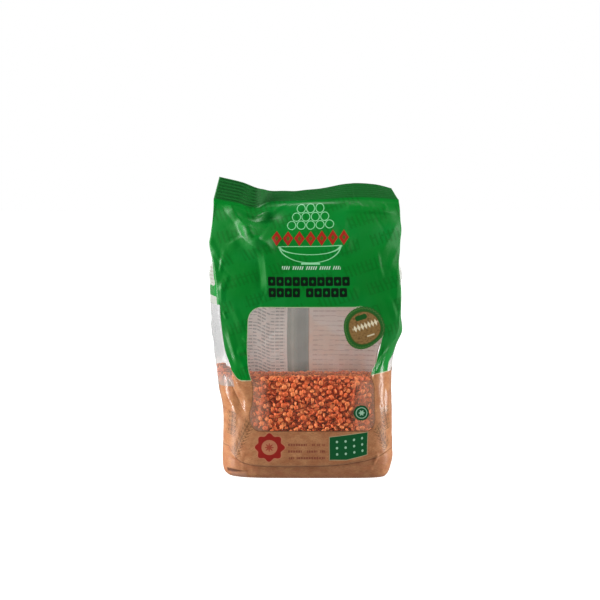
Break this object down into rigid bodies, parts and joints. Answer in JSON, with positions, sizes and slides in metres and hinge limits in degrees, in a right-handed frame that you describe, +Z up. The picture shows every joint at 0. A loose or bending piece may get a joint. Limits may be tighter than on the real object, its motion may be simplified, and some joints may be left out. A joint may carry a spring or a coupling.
{
  "type": "bag of red lentils",
  "caption": "Side-gusseted food bag of printed film with clear windows, filled two fifths with split red lentils, crimped shut on top and standing on its flat block bottom.",
  "frame": {"origin": "on the floor, under the middle of the bag's box", "axes": "+Z up, the printed front faces -Y, +X runs to the right as seen from the front"},
  "size_m": [0.1342, 0.0837, 0.2049],
  "materials": {
    "printed_film": "glossy laminated film, green and kraft-brown print, clear where it is not printed",
    "clear_film": "clear glossy film",
    "lentils": "dry split lentils, satin, orange to salmon"
  },
  "bodies": {
    "root": {"bag": "printed_film"}
  },
  "joints": []
}
